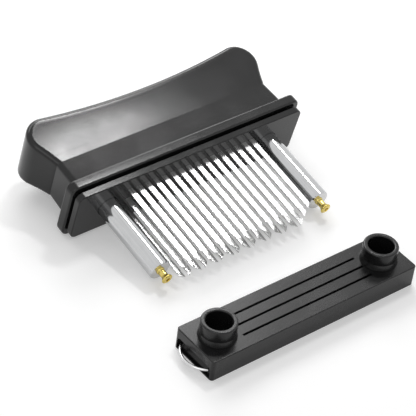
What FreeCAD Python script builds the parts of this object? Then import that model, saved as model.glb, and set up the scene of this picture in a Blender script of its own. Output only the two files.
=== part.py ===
"""Blade meat tenderizer: a moulded handle with three rows of flat blades, two
sprung posts that slide up into the handle, and a slotted guard, taken off and
laid beside it, that locks on to the studs of the posts.

Every size is in millimetres and stands in the sheet called Sizes. The head is
drawn upright, with z = 0 at the underside of its bottom plate, and the guard
with z = 0 at its underside. Both are then laid on the table: the head on its
back, on the tips of its rear blades and the rear edge of its flange.
"""

import FreeCAD, Part
import math
import os
import Sketcher

Vector = FreeCAD.Vector

SIZES = {
    # bottom plate of the head, and the raised seat that plugs into the handle
    "plate_length": 160.0,
    "plate_width": 34.0,
    "plate_thickness": 3.8,
    "plate_corner": 4.0,
    "plate_edge": 0.6,
    "seat_length": 152.0,
    "seat_width": 27.4,
    "seat_corner": 3.0,
    "seat_top": 8.0,
    "seat_clearance": 0.15,
    # groove between the plate and the flange of the handle
    "groove_height": 1.5,
    # handle, from the flange up to the palm
    "flange_length": 164.0,
    "flange_width": 39.6,
    "flange_height": 6.5,
    "flange_corner": 5.0,
    "flange_edge": 1.2,
    "waist_length": 151.5,
    "waist_width": 30.6,
    "crease_height": 29.5,
    "crease_length": 149.5,
    "crease_width": 28.8,
    "rim_height": 52.6,
    "rim_length": 160.0,
    "rim_width": 38.6,
    "palm_height": 62.2,
    "palm_inset": 8.0,
    "palm_edge": 2.5,
    "saddle_dip": 5.2,
    "body_corner": 4.0,
    "wall": 2.8,
    "rib_thickness": 2.4,
    "rib_spacing": 32.0,
    # posts and what carries them
    "post_spacing": 115.0,
    "post_diameter": 13.2,
    "post_wall": 1.2,
    "post_reach": 51.0,
    "post_top": 17.0,
    "post_travel": 38.0,
    "post_edge": 0.5,
    "travel_clearance": 0.5,
    "running_clearance": 0.08,
    "plug_thickness": 4.0,
    "bush_diameter": 16.0,
    "bush_base": 4.0,
    "bush_top": 14.0,
    "boss_wall": 1.8,
    "ring_diameter": 15.4,
    "ring_thickness": 1.4,
    "ring_groove": 0.5,
    "plate_hole_clearance": 0.25,
    "spring_diameter": 9.2,
    "spring_wire": 1.2,
    "spring_turns": 9.0,
    "spigot_diameter": 6.0,
    "spigot_length": 5.0,
    # brass studs in the ends of the posts
    "stud_reach": 7.6,
    "stud_collar_diameter": 5.4,
    "stud_collar": 1.2,
    "stud_neck_diameter": 3.8,
    "stud_head": 2.5,
    "stud_head_root": 4.6,
    "stud_head_diameter": 6.1,
    "stud_shank_diameter": 4.0,
    "stud_shank": 3.4,
    "stud_socket_diameter": 2.6,
    "stud_socket": 1.6,
    # blades and their bars
    "row_spacing": 7.6,
    "blade_pitch": 5.85,
    "blades_per_row": 16.0,
    "blade_width": 3.2,
    "blade_thickness": 1.0,
    "blade_reach": 57.0,
    "blade_tip": 3.0,
    "blade_grind": 0.35,
    "blade_root": 15.0,
    "blade_clearance": 0.1,
    "bar_width": 5.2,
    "bar_height": 10.0,
    "bar_end": 1.8,
    "bar_edge": 0.5,
    # guard
    "guard_length": 145.0,
    "guard_width": 32.0,
    "guard_height": 13.5,
    "guard_corner": 2.0,
    "guard_edge": 0.6,
    "guard_wall": 2.2,
    "guard_core": 20.4,
    "core_end": 2.6,
    "slot_width": 1.5,
    "slot_length": 92.0,
    "cup_diameter": 20.3,
    "cup_foot_diameter": 21.8,
    "cup_height": 10.6,
    "cup_foot_height": 3.4,
    "cup_bore_diameter": 14.9,
    "cup_floor": 10.0,
    "cup_edge": 0.9,
    "floor_thickness": 2.6,
    "floor_hole_diameter": 6.8,
    "cover_thickness": 2.0,
    "cover_clearance": 0.15,
    "cover_ledge": 0.6,
    "runner_length": 70.0,
    "runner_width": 1.6,
    "runner_gap": 0.2,
    "finger_width": 28.0,
    "finger_height": 8.0,
    "finger_corner": 2.4,
    "finger_depth": 4.5,
    "inner_wall": 1.5,
    "screw_spacing": 60.0,
    # lock inside the guard
    "lock_bottom": 5.2,
    "lock_thickness": 1.4,
    "lock_rail": 2.0,
    "lock_clearance": 0.4,
    "lock_end": 61.0,
    "lock_travel": 4.2,
    "keyhole_width": 4.4,
    "keyhole_diameter": 7.2,
    "pull_wire": 1.6,
    "pull_spacing": 22.6,
    "pull_reach": 6.0,
    "pull_clearance": 0.25,
    "pull_anchor": 3.5,
    "pull_bend": 1.3,
    "pull_fit": 0.05,
    "lock_spring_diameter": 3.2,
    "lock_spring_wire": 0.5,
    "lock_spring_turns": 7.0,
    "lock_spring_depth": 9.0,
    "lock_spring_clearance": 0.2,
    "lock_spring_drop": 0.2,
    "screw_head_diameter": 4.6,
    "screw_head": 1.2,
    "screw_diameter": 2.2,
    "screw_length": 7.0,
    "screw_socket": 1.8,
    "screw_socket_depth": 0.8,
    # how the two pieces lie
    "guard_gap": 110.0,
    "guard_shift": 8.0,
}

SIDES = {"left": -1, "right": 1}
ROWS = {"front": -1, "middle": 0, "rear": 1}
SCREW_PLACES = [
    ("%d * screw_spacing / 2" % across, "%d * row_spacing / 2" % along)
    for across in (-1, 1)
    for along in (-1, 1)
]

doc = FreeCAD.newDocument("tenderizer")
sheet = doc.addObject("Spreadsheet::Sheet", "Sizes")
for row, (name, value) in enumerate(SIZES.items(), start=1):
    sheet.set("A%d" % row, name)
    sheet.set("B%d" % row, str(value))
    sheet.setAlias("B%d" % row, name)
doc.recompute()


def size(name):
    """A value of the sheet, as a number."""
    return float(getattr(sheet, name))


def cell(formula):
    """A formula in sheet names, as an expression that objects can be bound to."""
    words = formula.replace("(", " ( ").replace(")", " ) ").split()
    return " ".join("Sizes." + word if word in SIZES else word for word in words)


def plane_of(body, role):
    """The origin plane of a body."""
    for feature in body.Origin.OriginFeatures:
        if feature.Role == role:
            return feature
    raise ValueError(role)


def new_body(name):
    """An empty body whose label names its file."""
    body = doc.addObject("PartDesign::Body", name)
    body.Label = name
    return body


def new_sketch(body, name, role, height="0"):
    """A sketch on an origin plane of its body, moved along that plane's normal."""
    sketch = body.newObject("Sketcher::SketchObject", name)
    sketch.AttachmentSupport = (plane_of(body, role), [""])
    sketch.MapMode = "FlatFace"
    if height != "0":
        sketch.setExpression("AttachmentOffset.Base.z", cell(height))
    return sketch


def fix_point(sketch, geometry, corner, across, along):
    """Tie a point of a sketch to two formulas in sheet names."""
    for kind, formula in (("DistanceX", across), ("DistanceY", along)):
        if formula == "0":
            axis = -2 if kind == "DistanceX" else -1
            sketch.addConstraint(Sketcher.Constraint("PointOnObject", geometry, corner, axis))
            continue
        index = sketch.addConstraint(Sketcher.Constraint(kind, -1, 1, geometry, corner, 1.0))
        sketch.setExpression("Constraints[%d]" % index, cell(formula))


def add_outline(sketch, points):
    """A closed outline of straight lines; each point is a pair of formulas."""
    first = sketch.GeometryCount
    count = len(points)
    starts = [Vector(evaluate(x), evaluate(y), 0) for x, y in points]
    for index in range(count):
        line = Part.LineSegment(starts[index], starts[(index + 1) % count])
        sketch.addGeometry(line, False)
    for index in range(count):
        after = first + (index + 1) % count
        sketch.addConstraint(Sketcher.Constraint("Coincident", first + index, 2, after, 1))
    for index, (x, y) in enumerate(points):
        fix_point(sketch, first + index, 1, x, y)


def add_circle(sketch, x, y, radius):
    """A circle; centre and radius are formulas."""
    centre = Vector(evaluate(x), evaluate(y), 0)
    circle = Part.Circle(centre, Vector(0, 0, 1), evaluate(radius))
    index = sketch.addGeometry(circle, False)
    fix_point(sketch, index, 3, x, y)
    constraint = sketch.addConstraint(Sketcher.Constraint("Radius", index, 1.0))
    sketch.setExpression("Constraints[%d]" % constraint, cell(radius))


def add_rectangle(sketch, length, width, x="0", y="0"):
    """A rectangle about a centre; all four are formulas."""
    left = "%s - ( %s ) / 2" % (x, length)
    right = "%s + ( %s ) / 2" % (x, length)
    low = "%s - ( %s ) / 2" % (y, width)
    high = "%s + ( %s ) / 2" % (y, width)
    add_outline(sketch, [(left, low), (right, low), (right, high), (left, high)])


def evaluate(formula):
    """The value of a formula in sheet names."""
    return float(sheet.evalExpression(cell(formula))) if formula != "0" else 0.0


def feature(body, kind, name, sketch, **bound):
    """A feature on a sketch, its sizes bound to formulas; Flags are set as they are."""
    item = body.newObject("PartDesign::" + kind, name)
    item.Profile = sketch
    for key, value in bound.items():
        if isinstance(value, str):
            item.setExpression(key, cell(value))
        else:
            setattr(item, key, value)
    doc.recompute()
    return item


def revolve(body, name, sketch):
    """Turn a sketch on the XZ plane a full turn about its vertical axis."""
    item = body.newObject("PartDesign::Revolution", name)
    item.Profile = sketch
    item.ReferenceAxis = (sketch, ["V_Axis"])
    item.Angle = 360.0
    doc.recompute()
    return item


def turn_about_edge(body, name, sketch, edge, kind):
    """Turn a sketch a full turn about one of its own lines, to add or to cut."""
    item = body.newObject("PartDesign::" + kind, name)
    item.Profile = sketch
    item.ReferenceAxis = (sketch, ["Edge%d" % edge])
    item.Angle = 360.0
    doc.recompute()
    return item


def round_edges(body, name, radius, wanted, kind="Fillet"):
    """Fillet or chamfer the edges of a body's tip that pass a test."""
    tip = body.Tip
    names = ["Edge%d" % (i + 1) for i, edge in enumerate(tip.Shape.Edges) if wanted(edge)]
    item = body.newObject("PartDesign::" + kind, name)
    item.Base = (tip, names)
    item.setExpression("Radius" if kind == "Fillet" else "Size", cell(radius))
    doc.recompute()
    return item


def upright(edge):
    """Whether an edge is a straight line along Z."""
    if edge.Curve.TypeId != "Part::GeomLine":
        return False
    return abs(edge.tangentAt(edge.FirstParameter).z) > 0.999


def level_at(height):
    """A test for edges that lie wholly at one height."""

    def test(edge):
        box = edge.BoundBox
        return abs(box.ZMin - height) < 0.001 and abs(box.ZMax - height) < 0.001

    return test


def rounded_wire(length, width, radius, height):
    """A rectangle with round corners, level at one height."""
    radius = min(radius, 0.49 * width, 0.49 * length)
    x, y = length / 2, width / 2
    cx, cy = x - radius, y - radius
    edges = []
    corners = [(cx, -cy, -90), (cx, cy, 0), (-cx, cy, 90), (-cx, -cy, 180)]
    points = []
    for px, py, start in corners:
        arc = []
        for turn in (0, 45, 90):
            angle = math.radians(start + turn)
            arc.append(Vector(px + radius * math.cos(angle), py + radius * math.sin(angle), height))
        points.append(arc)
    for index, arc in enumerate(points):
        edges.append(Part.Arc(*arc).toShape())
        edges.append(Part.LineSegment(arc[2], points[(index + 1) % 4][0]).toShape())
    return Part.Wire(edges)


def coil(place, radius, wire, height, turns):
    """A compression spring from a place's origin along its Z axis, one unbroken wire."""
    path = Part.makeHelix((height - wire) / turns, height - wire, radius)
    path.translate(Vector(0, 0, wire / 2))
    path.Placement = place.multiply(path.Placement)
    start = path.Edges[0].Vertexes[0].Point
    along = path.Edges[0].tangentAt(path.Edges[0].FirstParameter)
    section = Part.Wire(Part.Circle(start, along, wire / 2).toShape())
    return Part.Wire(path.Edges).makePipeShell([section], True, False)


# Handle shell

def flare(height, at_crease, at_rim):
    """Half a size of the handle's body at a height between the crease and the rim: an
    arc that leaves the crease upright and reaches the rim's half size."""
    rise = size("rim_height") - size("crease_height")
    spread = (at_rim - at_crease) / 2
    radius = (rise * rise + spread * spread) / (2 * spread)
    climb = height - size("crease_height")
    return at_crease / 2 + radius - math.sqrt(radius * radius - climb * climb)


def flare_wire(height, inset):
    """The outline of the handle's body at a height in the flare, moved in by a wall."""
    length = 2 * flare(height, size("crease_length"), size("rim_length"))
    width = 2 * flare(height, size("crease_width"), size("rim_width"))
    corner = max(size("body_corner") - inset, 0.8)
    return rounded_wire(length - 2 * inset, width - 2 * inset, corner, height)


def palm_wire(share):
    """The outline of the palm's dome at a share of its height: a quarter ellipse in."""
    dome = size("palm_height") - size("rim_height")
    inset = size("palm_inset") * (1 - math.sqrt(1 - share * share))
    length = size("rim_length") - 2 * inset
    width = size("rim_width") - 2 * inset
    height = size("rim_height") + share * dome
    return rounded_wire(length, width, size("body_corner") + inset, height)


def handle_body():
    """The handle above its flange, closed: waist, flare and domed palm."""
    waist_foot = size("plate_thickness") + size("groove_height")
    corner = size("body_corner")
    crease = size("crease_height")
    rise = size("rim_height") - crease
    waist = Part.makeLoft(
        [
            rounded_wire(size("waist_length"), size("waist_width"), corner, waist_foot),
            rounded_wire(size("crease_length"), size("crease_width"), corner, crease),
        ],
        True,
        True,
    )
    flared = Part.makeLoft([flare_wire(crease + rise * i / 4, 0) for i in range(5)], True, False)
    shares = [math.sin(math.radians(angle)) for angle in (0, 25, 50, 70, 85)]
    dome = Part.makeLoft([palm_wire(share) for share in shares], True, False)
    return waist.fuse([flared, dome])


def saddle_cutter():
    """What is taken off the palm: all above an arc that dips in the middle."""
    reach = size("rim_length") / 2 - size("palm_inset")
    top = size("palm_height") - 0.4
    dip = size("saddle_dip")
    left = Vector(-reach, 0, top)
    middle = Vector(0, 0, top - dip)
    right = Vector(reach, 0, top)
    radius = (reach * reach + dip * dip) / (2 * dip)
    centre_height = top - dip + radius
    far = size("rim_length")
    far_top = centre_height - math.sqrt(radius * radius - far * far)
    far_left = Vector(-far, 0, far_top)
    far_right = Vector(far, 0, far_top)
    high_left = Vector(-far, 0, centre_height)
    high_right = Vector(far, 0, centre_height)
    wire = Part.Wire(
        [
            Part.Arc(far_left, middle, far_right).toShape(),
            Part.LineSegment(far_right, high_right).toShape(),
            Part.LineSegment(high_right, high_left).toShape(),
            Part.LineSegment(high_left, far_left).toShape(),
        ]
    )
    face = Part.Face(wire)
    half = size("rim_width")
    face.translate(Vector(0, -half, 0))
    return face.extrude(Vector(0, 2 * half, 0))


def handle_cavity():
    """The hollow of the handle: mouth for the plate's seat, waist and flare."""
    foot = size("plate_thickness") + size("groove_height")
    clear = 2 * size("seat_clearance")
    wall = 2 * size("wall")
    crease = size("crease_height")
    roof = size("rim_height") - size("wall")
    mouth_corner = size("seat_corner") + size("seat_clearance")
    length = size("seat_length") + clear
    width = size("seat_width") + clear
    mouth = Part.Face(rounded_wire(length, width, mouth_corner, foot))
    mouth = mouth.extrude(Vector(0, 0, size("seat_top") - foot))
    narrow = rounded_wire(size("crease_length") - wall, size("crease_width") - wall, 1.5, 0)
    waist = Part.Face(narrow)
    waist.translate(Vector(0, 0, size("seat_top")))
    waist = waist.extrude(Vector(0, 0, crease - size("seat_top")))
    steps = [crease + (roof - crease) * i / 3 for i in range(4)]
    flared = Part.makeLoft([flare_wire(z, size("wall")) for z in steps], True, False)
    return mouth.fuse([waist, flared])


def well_ceiling():
    """Height at which a post's tube would meet the handle."""
    return size("post_top") + size("post_travel") + size("travel_clearance")


def make_handle_shell():
    """The one-piece moulding that the hand holds."""
    foot = size("plate_thickness") + size("groove_height")
    flange_wire = rounded_wire(
        size("flange_length"), size("flange_width"), size("flange_corner"), foot
    )
    flange = Part.Face(flange_wire).extrude(Vector(0, 0, size("flange_height")))
    rims = [edge for edge in flange.Edges if abs(edge.BoundBox.ZMax - edge.BoundBox.ZMin) < 0.001]
    flange = flange.makeFillet(size("flange_edge"), rims)
    body = handle_body().cut(saddle_cutter())
    brims = [edge for edge in body.Edges if edge.BoundBox.ZMin > size("rim_height") + 1.0]
    body = body.makeFillet(size("palm_edge"), brims)
    shell = body.fuse(flange).cut(handle_cavity())
    seat_top = size("seat_top")
    boss_radius = size("bush_diameter") / 2 + size("boss_wall")
    well = well_ceiling()
    roof = size("rim_height") - size("wall")
    inner = size("crease_width") - size("wall")
    additions = []
    holes = []
    for side in SIDES.values():
        x = side * size("post_spacing") / 2
        boss = Part.makeCylinder(boss_radius, roof + 1.0 - seat_top, Vector(x, 0, seat_top))
        web = Part.makeBox(
            size("rib_thickness"),
            inner,
            roof + 1.0 - size("bush_top"),
            Vector(x - size("rib_thickness") / 2, -inner / 2, size("bush_top")),
        )
        additions += [boss, web]
        holes.append(
            Part.makeCylinder(size("bush_diameter") / 2, well - seat_top, Vector(x, 0, seat_top))
        )
    bar_top = seat_top + size("bar_height")
    for place in (-1, 0, 1):
        rib = Part.makeBox(
            size("rib_thickness"),
            inner,
            roof + 1.0 - bar_top,
            Vector(place * size("rib_spacing") - size("rib_thickness") / 2, -inner / 2, bar_top),
        )
        additions.append(rib)
    shell = shell.fuse(additions)
    shell = shell.cut(holes)
    spigots = []
    for side in SIDES.values():
        x = side * size("post_spacing") / 2
        base = Vector(x, 0, well - size("spigot_length"))
        spigots.append(
            Part.makeCylinder(size("spigot_diameter") / 2, size("spigot_length") + 1.0, base)
        )
    shell = shell.fuse(spigots).removeSplitter()
    item = doc.addObject("Part::Feature", "handle_shell")
    item.Label = "handle_shell"
    item.Shape = shell
    return item


# Bottom plate, bars and blades

def make_bottom_plate():
    """Plate that closes the handle, with its raised seat, post holes and blade slots."""
    body = new_body("bottom_plate")
    sketch = new_sketch(body, "plate_outline", "XY_Plane")
    add_rectangle(sketch, "plate_length", "plate_width")
    feature(body, "Pad", "plate_slab", sketch, Length="plate_thickness")
    round_edges(body, "plate_corners", "plate_corner", upright)
    round_edges(body, "plate_rim", "plate_edge", level_at(0))
    sketch = new_sketch(body, "seat_outline", "XY_Plane", "plate_thickness")
    add_rectangle(sketch, "seat_length", "seat_width")
    feature(body, "Pad", "seat_slab", sketch, Length="seat_top - plate_thickness")
    seat = size("seat_length") / 2

    def seat_corner(edge):
        return upright(edge) and abs(abs(edge.BoundBox.XMax) - seat) < 0.001

    round_edges(body, "seat_corners", "seat_corner", seat_corner)
    sketch = new_sketch(body, "post_holes", "XY_Plane")
    radius = "post_diameter / 2 + plate_hole_clearance"
    add_circle(sketch, "post_spacing / 2", "0", radius)
    add_circle(sketch, "0 - post_spacing / 2", "0", radius)
    feature(body, "Pocket", "post_openings", sketch, Type=1, Reversed=True)
    sketch = new_sketch(body, "bush_holes", "XY_Plane", "seat_top")
    add_circle(sketch, "post_spacing / 2", "0", "bush_diameter / 2")
    add_circle(sketch, "0 - post_spacing / 2", "0", "bush_diameter / 2")
    feature(body, "Pocket", "bush_seats", sketch, Length="seat_top - bush_base")
    sketch = new_sketch(body, "first_slots", "XY_Plane")
    first = "0 - blade_pitch * ( blades_per_row - 1 ) / 2"
    long = "blade_width + 2 * blade_clearance"
    wide = "blade_thickness + 2 * blade_clearance"
    for place in ROWS.values():
        across = "%d * row_spacing" % place
        add_rectangle(sketch, long, wide, first, across)
    pocket = feature(body, "Pocket", "first_blade_slots", sketch, Type=1, Reversed=True)
    pattern = body.newObject("PartDesign::LinearPattern", "blade_slots")
    pattern.Originals = [pocket]
    pattern.Direction = (sketch, ["H_Axis"])
    pattern.setExpression("Length", cell("blade_pitch * ( blades_per_row - 1 )"))
    pattern.setExpression("Occurrences", cell("blades_per_row"))
    body.Tip = pattern
    doc.recompute()
    return body


def make_blade_bar(name, place):
    """Bar that the blades of one row stand in, on top of the plate's seat."""
    body = new_body("blade_bar_" + name)
    sketch = new_sketch(body, "bar_outline_" + name, "XY_Plane", "seat_top")
    length = "blade_pitch * ( blades_per_row - 1 ) + blade_width + 2 * bar_end"
    add_rectangle(sketch, length, "bar_width", "0", "%d * row_spacing" % place)
    feature(body, "Pad", "bar_block_" + name, sketch, Length="bar_height")
    round_edges(body, "bar_edges_" + name, "bar_edge", upright)
    sketch = new_sketch(body, "first_pocket_" + name, "XY_Plane", "seat_top")
    first = "0 - blade_pitch * ( blades_per_row - 1 ) / 2"
    clear = "blade_width + blade_clearance"
    thick = "blade_thickness + blade_clearance"
    add_rectangle(sketch, clear, thick, first, "%d * row_spacing" % place)
    pocket = feature(
        body,
        "Pocket",
        "root_pocket_" + name,
        sketch,
        Length="blade_root - seat_top",
        Reversed=True,
    )
    pattern = body.newObject("PartDesign::LinearPattern", "root_pockets_" + name)
    pattern.Originals = [pocket]
    pattern.Direction = (sketch, ["H_Axis"])
    pattern.setExpression("Length", cell("blade_pitch * ( blades_per_row - 1 )"))
    pattern.setExpression("Occurrences", cell("blades_per_row"))
    body.Tip = pattern
    doc.recompute()
    return body


def one_blade(point_side):
    """A flat blade whose point is at one edge, ground thin on both faces at its tip."""
    half = size("blade_width") / 2
    thick = size("blade_thickness")
    reach = size("blade_reach")
    root = size("blade_root")
    tip = size("blade_tip")
    outline = [
        Vector(-half, 0, root),
        Vector(half, 0, root),
        Vector(half, 0, -reach if point_side > 0 else tip - reach),
        Vector(-half, 0, tip - reach if point_side > 0 else -reach),
    ]
    face = Part.Face(Part.makePolygon(outline + outline[:1]))
    face.translate(Vector(0, -thick / 2, 0))
    blade = face.extrude(Vector(0, thick, 0))
    grind = size("blade_grind")
    for face_side in (-1, 1):
        base = face_side * thick / 2
        section = [
            Vector(0, base - face_side * grind, -reach),
            Vector(0, base, -reach + 2 * tip),
            Vector(0, base + face_side * thick, -reach + 2 * tip),
            Vector(0, base + face_side * thick, -reach - 1.0),
            Vector(0, base - face_side * grind, -reach - 1.0),
        ]
        wedge = Part.Face(Part.makePolygon(section + section[:1]))
        wedge.translate(Vector(-2 * half, 0, 0))
        blade = blade.cut(wedge.extrude(Vector(4 * half, 0, 0)))
    return blade


def make_blades(name, place):
    """One row of blades, each a piece of its own, with points on alternate edges."""
    count = int(round(size("blades_per_row")))
    pair = {side: one_blade(side) for side in (-1, 1)}
    blades = []
    for index in range(count):
        blade = pair[1 if index % 2 == 0 else -1].copy()
        x = (index - (count - 1) / 2) * size("blade_pitch")
        blade.translate(Vector(x, place * size("row_spacing"), 0))
        blades.append(blade)
    item = doc.addObject("Part::Feature", "blades_" + name)
    item.Label = "blades_" + name
    item.Shape = Part.makeCompound(blades)
    return item


# Posts

def revolved_body(name, outline, role="XZ_Plane"):
    """A body turned from an outline of (radius, height) formulas, about its own Z axis."""
    body = new_body(name)
    sketch = new_sketch(body, "section_" + name, role)
    add_outline(sketch, outline)
    revolve(body, "turned_" + name, sketch)
    return body


def post_axis(side):
    """Where a post's axis stands in the upright head."""
    return Vector(side * size("post_spacing") / 2, 0, 0)


def make_post_tube(name):
    """Steel tube, open at the top, with a groove for its retaining ring."""
    outer = "post_diameter / 2"
    inner = "post_diameter / 2 - post_wall"
    groove = "post_diameter / 2 - ring_groove"
    ring_top = "bush_top + ring_thickness"
    return revolved_body(
        "post_tube_" + name,
        [
            (inner, "0 - post_reach"),
            ("post_diameter / 2 - post_edge", "0 - post_reach"),
            (outer, "post_edge - post_reach"),
            (outer, "bush_top"),
            (groove, "bush_top"),
            (groove, ring_top),
            (outer, ring_top),
            (outer, "post_top"),
            (inner, "post_top"),
        ],
    )


def make_post_plug(name):
    """Disc that closes the lower end of a tube and holds its stud."""
    outer = "post_diameter / 2 - post_wall"
    inner = "stud_shank_diameter / 2"
    low = "0 - post_reach"
    high = "plug_thickness - post_reach"
    return revolved_body(
        "post_plug_" + name, [(inner, low), (outer, low), (outer, high), (inner, high)]
    )


def make_stud(name):
    """Brass stud: shank in the plug, collar, neck and flared head with a socket."""
    end = "0 - post_reach - stud_reach"
    return revolved_body(
        "brass_stud_" + name,
        [
            ("0", end + " + stud_socket"),
            ("stud_socket_diameter / 2", end + " + stud_socket"),
            ("stud_socket_diameter / 2", end),
            ("stud_head_diameter / 2", end),
            ("stud_head_root / 2", end + " + stud_head"),
            ("stud_neck_diameter / 2", end + " + stud_head"),
            ("stud_neck_diameter / 2", "0 - post_reach - stud_collar"),
            ("stud_collar_diameter / 2", "0 - post_reach - stud_collar"),
            ("stud_collar_diameter / 2", "0 - post_reach"),
            ("stud_shank_diameter / 2", "0 - post_reach"),
            ("stud_shank_diameter / 2", "stud_shank - post_reach"),
            ("0", "stud_shank - post_reach"),
        ],
    )


def make_retaining_ring(name):
    """Ring in the tube's groove; it rests on the bush and stops the post."""
    inner = "post_diameter / 2 - ring_groove"
    outer = "ring_diameter / 2"
    top = "bush_top + ring_thickness"
    return revolved_body(
        "retaining_ring_" + name,
        [(inner, "bush_top"), (outer, "bush_top"), (outer, top), (inner, top)],
    )


def make_guide_bush(name):
    """Plain bush in the plate's seat and the boss above it; the tube runs in it."""
    inner = "post_diameter / 2 + running_clearance"
    outer = "bush_diameter / 2"
    return revolved_body(
        "guide_bush_" + name,
        [(inner, "bush_base"), (outer, "bush_base"), (outer, "bush_top"), (inner, "bush_top")],
    )


def make_post_spring(name):
    """Spring from the plug of a tube up to the ceiling of its well."""
    low = size("plug_thickness") - size("post_reach")
    radius = (size("spring_diameter") - size("spring_wire")) / 2
    height = well_ceiling() - low
    item = doc.addObject("Part::Feature", "post_spring_" + name)
    item.Label = "post_spring_" + name
    place = FreeCAD.Placement(Vector(0, 0, low), FreeCAD.Rotation())
    item.Shape = coil(place, radius, size("spring_wire"), height, size("spring_turns"))
    return item


# Guard and its lock

def make_guard_body():
    """Moulded guard: slotted top, two cups, hollow below round a slotted core."""
    body = new_body("guard_body")
    sketch = new_sketch(body, "guard_outline", "XY_Plane")
    add_rectangle(sketch, "guard_length", "guard_width")
    feature(body, "Pad", "guard_block", sketch, Length="guard_height")
    round_edges(body, "guard_corners", "guard_corner", upright)
    round_edges(body, "guard_rim", "guard_edge", level_at(size("guard_height")))
    top = "guard_height + cup_height"
    foot = "guard_height + cup_foot_height"
    for name, side in SIDES.items():
        x = "%d * post_spacing / 2" % side
        sketch = new_sketch(body, "cup_section_" + name, "XZ_Plane")
        add_outline(
            sketch,
            [
                (x, "guard_height - 1"),
                (x + " + cup_foot_diameter / 2", "guard_height - 1"),
                (x + " + cup_foot_diameter / 2", "guard_height + 0.4"),
                (x + " + cup_diameter / 2", foot),
                (x + " + cup_diameter / 2", top),
                (x, top),
            ],
        )
        turn_about_edge(body, "cup_" + name, sketch, sketch.GeometryCount, "Revolution")
    sketch = new_sketch(body, "cup_bores", "XY_Plane", top)
    for side in SIDES.values():
        add_circle(sketch, "%d * post_spacing / 2" % side, "0", "cup_bore_diameter / 2")
    feature(body, "Pocket", "cup_hollows", sketch, Length=top + " - cup_floor")
    round_edges(body, "cup_brims", "cup_edge", level_at(size("guard_height") + size("cup_height")))
    sketch = new_sketch(body, "stud_holes", "XY_Plane")
    for side in SIDES.values():
        add_circle(sketch, "%d * post_spacing / 2" % side, "0", "floor_hole_diameter / 2")
    feature(body, "Pocket", "stud_openings", sketch, Type=1, Reversed=True)
    add_guard_hollow(body)
    sketch = new_sketch(body, "blade_slots", "XY_Plane")
    for place in ROWS.values():
        add_rectangle(sketch, "slot_length", "slot_width", "0", "%d * row_spacing" % place)
    feature(body, "Pocket", "guard_slots", sketch, Type=1, Reversed=True)
    add_finger_notch(body)
    sketch = new_sketch(body, "screw_holes", "XY_Plane")
    for x, y in SCREW_PLACES:
        add_circle(sketch, x, y, "screw_diameter / 2")
    feature(body, "Pocket", "screw_bores", sketch, Length="screw_length", Reversed=True)
    sketch = new_sketch(body, "spring_hole", "YZ_Plane", "slot_length / 2 + core_end")
    height = "lock_bottom + lock_thickness / 2 - lock_spring_drop"
    radius = "lock_spring_diameter / 2 + lock_spring_clearance"
    add_circle(sketch, "row_spacing / 2", height, radius)
    feature(body, "Pocket", "spring_bore", sketch, Length="lock_spring_depth")
    return body


def add_finger_notch(body):
    """Notch in the left end for a fingertip, and the two holes its wire runs through."""
    sketch = new_sketch(body, "finger_opening", "YZ_Plane", "0 - guard_length / 2")
    half = "finger_width / 2"
    corners = [("0 - " + half, "0"), (half, "0")]
    corners += [(half, "finger_height"), ("0 - " + half, "finger_height")]
    add_outline(sketch, corners)
    feature(body, "Pocket", "finger_notch", sketch, Length="finger_depth", Reversed=True)
    width = size("finger_width") / 2
    top = size("finger_height")

    def notch_corner(edge):
        box = edge.BoundBox
        at_side = abs(abs(box.YMin) - width) < 0.001 and abs(box.YMax - box.YMin) < 0.001
        return at_side and abs(box.ZMin - top) < 0.001 and abs(box.ZMax - top) < 0.001

    round_edges(body, "finger_rounds", "finger_corner", notch_corner)
    sketch = new_sketch(body, "wire_holes", "YZ_Plane", "0 - guard_length / 2")
    for side in SIDES.values():
        across = "%d * pull_spacing / 2" % side
        rise = "lock_bottom - pull_wire / 2"
        add_circle(sketch, across, rise, "pull_wire / 2 + pull_clearance")
    depth = "finger_depth + inner_wall + 1"
    feature(body, "Pocket", "wire_openings", sketch, Length=depth, Reversed=True)


def add_guard_hollow(body):
    """Hollow for the lock, open below: a frame-shaped pocket round the slotted core."""
    ceiling = "cup_floor - floor_thickness"
    inner_left = "finger_depth + inner_wall - guard_length / 2"
    inner_right = "guard_length / 2 - guard_wall"
    half = "( guard_width / 2 - guard_wall )"
    core = "( slot_length / 2 + core_end )"
    core_half = "guard_core / 2"
    sketch = new_sketch(body, "hollow_outline", "XY_Plane")
    add_outline(
        sketch,
        [
            (inner_left, "0 - " + half),
            (inner_right, "0 - " + half),
            (inner_right, half),
            (inner_left, half),
        ],
    )
    add_outline(
        sketch,
        [
            ("0 - " + core, "0 - " + core_half),
            (core, "0 - " + core_half),
            (core, core_half),
            ("0 - " + core, core_half),
        ],
    )
    feature(body, "Pocket", "lock_hollow", sketch, Length=ceiling, Reversed=True)
    sketch = new_sketch(body, "cover_recess", "XY_Plane")
    left = inner_left + " - inner_wall / 2"
    add_outline(
        sketch,
        [
            (left, "0 - %s - cover_ledge" % half),
            (inner_right + " + cover_ledge", "0 - %s - cover_ledge" % half),
            (inner_right + " + cover_ledge", half + " + cover_ledge"),
            (left, half + " + cover_ledge"),
        ],
    )
    feature(body, "Pocket", "cover_seat", sketch, Length="cover_thickness", Reversed=True)


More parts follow.
